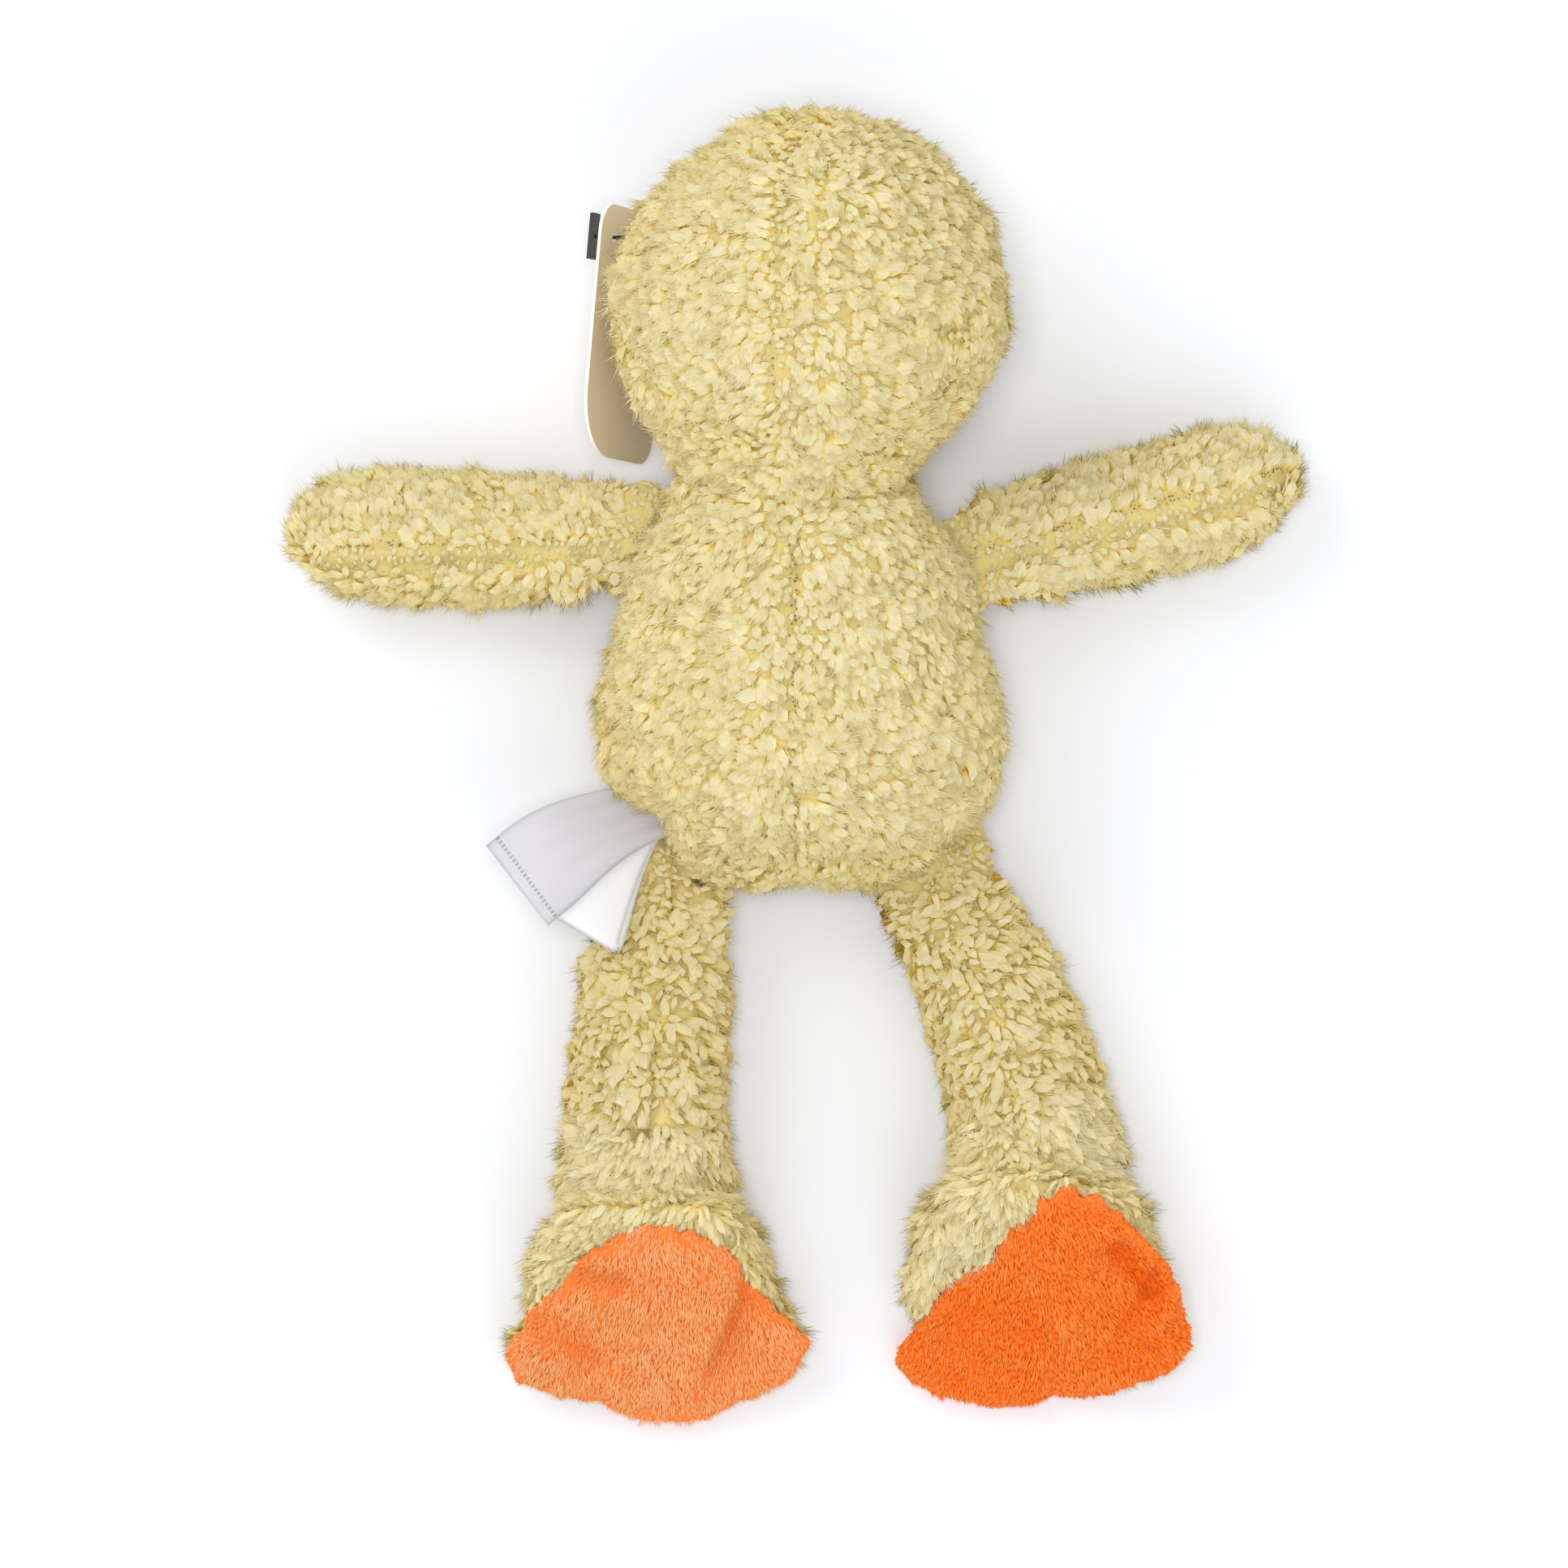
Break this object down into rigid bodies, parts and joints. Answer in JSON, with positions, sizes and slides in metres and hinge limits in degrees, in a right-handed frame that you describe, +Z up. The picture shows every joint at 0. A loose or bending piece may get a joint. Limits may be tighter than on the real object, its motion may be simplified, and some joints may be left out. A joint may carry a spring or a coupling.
{
  "type": "plush chick",
  "caption": "Soft sherpa chick with a round head, pear-shaped body, stub wings, floppy legs and wide orange soles, lying face down.",
  "frame": {"origin": "middle of the flat face of the belly that the chick rests on", "axes": "+Z up out of the back, +Y towards the top of the head, +X to the right of the picture, which is the right side of the chick"},
  "size_m": [0.2552, 0.3258, 0.1079],
  "materials": {
    "sherpa": "curly pile, matt",
    "minky": "short plush pile, matt",
    "stuffing": "loose fibre",
    "pouch": "woven pouch of pellets",
    "thread": "sewing thread",
    "label": "satin weave",
    "card": "uncoated card",
    "fastener": "moulded",
    "eye": "gloss black",
    "washer": "moulded"
  },
  "bodies": {
    "torso": {"body_back_left_panel": "sherpa", "body_back_right_panel": "sherpa", "body_belly_panel": "sherpa", "body_stuffing": "stuffing", "pellet_pouch": "pouch"},
    "neck": {"neck_thread": "thread"},
    "head": {"head_back_left_panel": "sherpa", "head_back_right_panel": "sherpa", "head_face_panel": "sherpa", "head_stuffing": "stuffing", "left_eye": "eye", "right_eye": "eye", "left_eye_washer": "washer", "right_eye_washer": "washer", "beak_upper": "minky", "beak_lower": "minky", "tag_fastener": "fastener"},
    "labels": {"satin_label": "label", "care_label": "label"},
    "hang_tag": {"hang_tag": "card"},
    "left_wing": {"left_wing_top_panel": "sherpa", "left_wing_under_panel": "sherpa", "left_wing_stuffing": "stuffing"},
    "left_leg": {"left_leg_inner_panel": "sherpa", "left_leg_outer_panel": "sherpa", "left_leg_stuffing": "stuffing"},
    "left_foot": {"left_foot_upper": "sherpa", "left_foot_sole": "minky", "left_foot_stuffing": "stuffing"},
    "right_wing": {"right_wing_top_panel": "sherpa", "right_wing_under_panel": "sherpa", "right_wing_stuffing": "stuffing"},
    "right_leg": {"right_leg_inner_panel": "sherpa", "right_leg_outer_panel": "sherpa", "right_leg_stuffing": "stuffing"},
    "right_foot": {"right_foot_upper": "sherpa", "right_foot_sole": "minky", "right_foot_stuffing": "stuffing"}
  },
  "joints": [
    {"name": "neck_nod", "type": "hinge", "parent": "torso", "child": "neck", "pos_m": [0.0019, 0.09475, 0.0594], "axis": [1, 0, 0], "range_deg": [-5, 20], "stiffness_Nm_per_rad": 0.08},
    {"name": "head_turn", "type": "hinge", "parent": "neck", "child": "head", "pos_m": [0.0019, 0.09475, 0.0594], "axis": [0, 1, 0], "range_deg": [-30, 30], "stiffness_Nm_per_rad": 0.05},
    {"name": "left_wing_flap", "type": "hinge", "parent": "torso", "child": "left_wing", "pos_m": [-0.03919, 0.03953, 0.034], "axis": [0.4509, 0.8926, 0], "range_deg": [-35, 60], "stiffness_Nm_per_rad": 0.01},
    {"name": "right_wing_flap", "type": "hinge", "parent": "torso", "child": "right_wing", "pos_m": [0.04111, 0.03523, 0.034], "axis": [0.4082, -0.9129, 0], "range_deg": [-35, 60], "stiffness_Nm_per_rad": 0.01},
    {"name": "left_hip", "type": "hinge", "parent": "torso", "child": "left_leg", "pos_m": [-0.03154, -0.04179, 0.025], "axis": [0.9994, -0.0349, 0], "range_deg": [-15, 80], "stiffness_Nm_per_rad": 0.015},
    {"name": "left_ankle", "type": "hinge", "parent": "left_leg", "child": "left_foot", "pos_m": [-0.0396, -0.1216, 0.019], "axis": [0.9986, 0.0523, 0], "range_deg": [-10, 50], "stiffness_Nm_per_rad": 0.015},
    {"name": "right_hip", "type": "hinge", "parent": "torso", "child": "right_leg", "pos_m": [0.03152, -0.04187, 0.025], "axis": [0.9994, 0.0349, 0], "range_deg": [-15, 80], "stiffness_Nm_per_rad": 0.015},
    {"name": "right_ankle", "type": "hinge", "parent": "right_leg", "child": "right_foot", "pos_m": [0.0586, -0.116, 0.019], "axis": [0.9994, -0.0349, 0], "range_deg": [-10, 50], "stiffness_Nm_per_rad": 0.015},
    {"name": "label_flap", "type": "hinge", "parent": "torso", "child": "labels", "pos_m": [-0.04534, -0.02926, 0.035], "axis": [-0.4848, 0.8746, 0], "range_deg": [0, 45], "stiffness_Nm_per_rad": 0.0005},
    {"name": "tag_swing", "type": "hinge", "parent": "head", "child": "hang_tag", "pos_m": [-0.04705, 0.114, 0.0406], "axis": [-0.9217, 0.0806, -0.3795], "range_deg": [-40, 5]}
  ]
}
